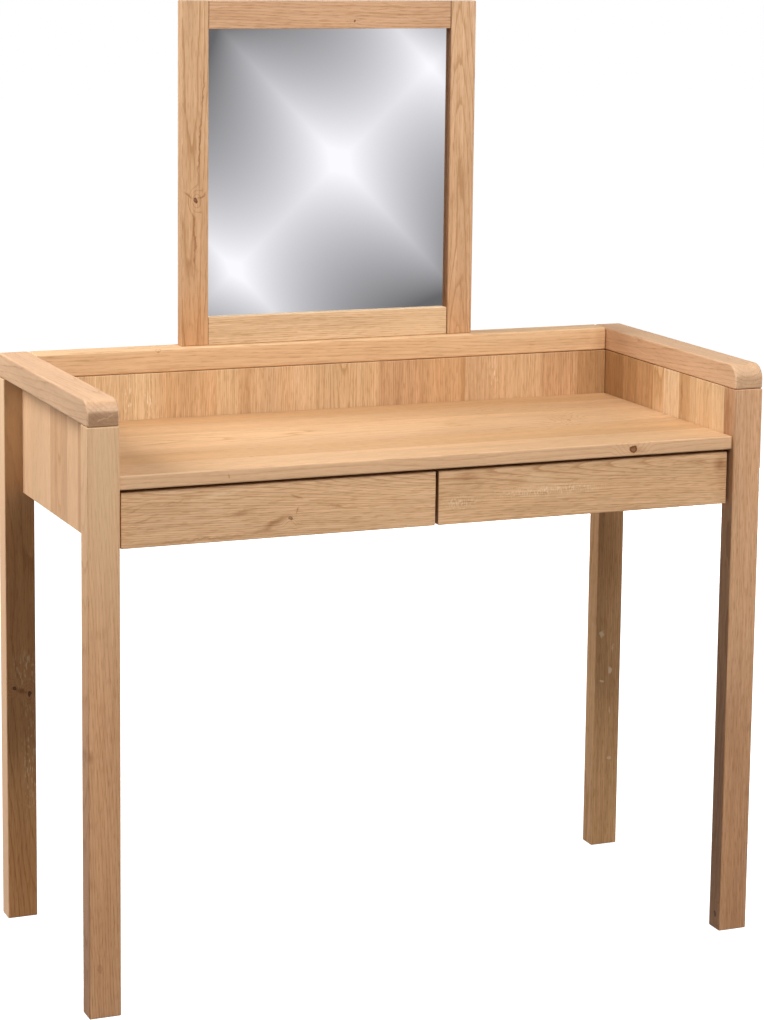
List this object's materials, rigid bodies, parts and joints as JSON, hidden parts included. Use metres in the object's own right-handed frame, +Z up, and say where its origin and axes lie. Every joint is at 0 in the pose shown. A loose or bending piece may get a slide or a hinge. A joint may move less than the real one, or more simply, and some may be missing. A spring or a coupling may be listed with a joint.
{
  "type": "dressing table",
  "caption": "Wooden dressing table with a raised edge round its worktop, handleless dovetailed drawers side by side, and a framed mirror on the back rail.",
  "frame": {"origin": "on the floor, under the middle of the table's width and depth", "axes": "+X to the right of someone who sits at the table, +Y to its back, +Z up"},
  "size_m": [1.04, 0.465, 1.3933],
  "materials": {
    "oiled_oak": "matt oiled oak, jointed from staves",
    "drawer_oak": "planed oak, unfinished",
    "beech": "planed beech, unfinished",
    "plywood": "sanded birch plywood",
    "silvered_glass": "silvered float glass",
    "hardboard": "brown hardboard",
    "zinc_plated_steel": "bright zinc plate"
  },
  "bodies": {
    "carcase": {"back_panel": "oiled_oak", "back_rail": "oiled_oak", "drawer_divider": "oiled_oak", "leg_dowel_front_left_a": "beech", "leg_dowel_front_left_b": "beech", "leg_dowel_front_right_a": "beech", "leg_dowel_front_right_b": "beech", "leg_dowel_rear_left_a": "beech", "leg_dowel_rear_left_b": "beech", "leg_dowel_rear_right_a": "beech", "leg_dowel_rear_right_b": "beech", "leg_front_left": "oiled_oak", "leg_front_right": "oiled_oak", "leg_rear_left": "oiled_oak", "leg_rear_right": "oiled_oak", "mirror_backing": "hardboard", "mirror_bolt_left": "zinc_plated_steel", "mirror_bolt_right": "zinc_plated_steel", "mirror_glass": "silvered_glass", "mirror_rail_bottom": "oiled_oak", "mirror_rail_top": "oiled_oak", "mirror_stile_left": "oiled_oak", "mirror_stile_right": "oiled_oak", "rail_dowel_left_lower": "beech", "rail_dowel_left_upper": "beech", "rail_dowel_right_lower": "beech", "rail_dowel_right_upper": "beech", "runner_left_inner": "beech", "runner_left_outer": "beech", "runner_right_inner": "beech", "runner_right_outer": "beech", "side_panel_left": "oiled_oak", "side_panel_right": "oiled_oak", "side_rail_left": "oiled_oak", "side_rail_right": "oiled_oak", "worktop": "oiled_oak", "worktop_cleat_left": "beech", "worktop_cleat_rear_left": "beech", "worktop_cleat_rear_right": "beech", "worktop_cleat_right": "beech"},
    "drawer_left": {"drawer_left_back": "drawer_oak", "drawer_left_bottom": "plywood", "drawer_left_box_front": "drawer_oak", "drawer_left_front": "oiled_oak", "drawer_left_side_inner": "drawer_oak", "drawer_left_side_outer": "drawer_oak"},
    "drawer_right": {"drawer_right_back": "drawer_oak", "drawer_right_bottom": "plywood", "drawer_right_box_front": "drawer_oak", "drawer_right_front": "oiled_oak", "drawer_right_side_inner": "drawer_oak", "drawer_right_side_outer": "drawer_oak"}
  },
  "joints": [
    {"name": "drawer_left_slide", "type": "slide", "parent": "carcase", "child": "drawer_left", "axis": [0, -1, 0], "range_m": [0, 0.25]},
    {"name": "drawer_right_slide", "type": "slide", "parent": "carcase", "child": "drawer_right", "axis": [0, -1, 0], "range_m": [0, 0.25]}
  ]
}
